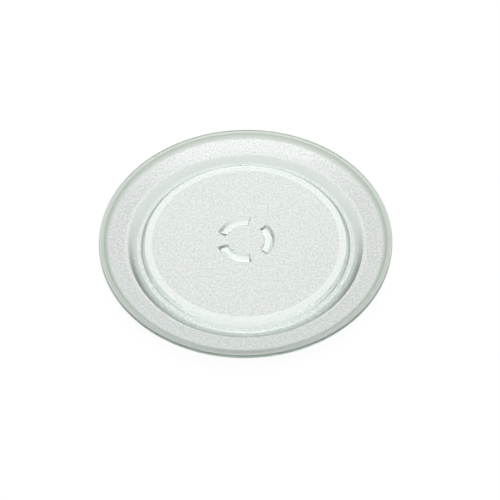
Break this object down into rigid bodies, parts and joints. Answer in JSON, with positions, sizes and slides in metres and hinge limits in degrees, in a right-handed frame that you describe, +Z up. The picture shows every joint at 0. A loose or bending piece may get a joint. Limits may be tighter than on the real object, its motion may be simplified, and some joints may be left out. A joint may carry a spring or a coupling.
{
  "type": "microwave glass tray",
  "caption": "Round pressed-glass turntable tray with a raised rim, a foot ring that keeps rollers in, and drive lugs under the middle.",
  "frame": {"origin": "on the tray's axis, level with the lower faces of the standing pads", "axes": "+Z up along the tray's axis of rotation, +X through the middle of one drive lug, +Y through one standing pad"},
  "size_m": [0.36, 0.36, 0.0259],
  "materials": {
    "glass": "clear pressed glass with a pale green tint, smooth above and stippled below except on the roller track"
  },
  "bodies": {
    "root": {"glass_tray": "glass"}
  },
  "joints": []
}
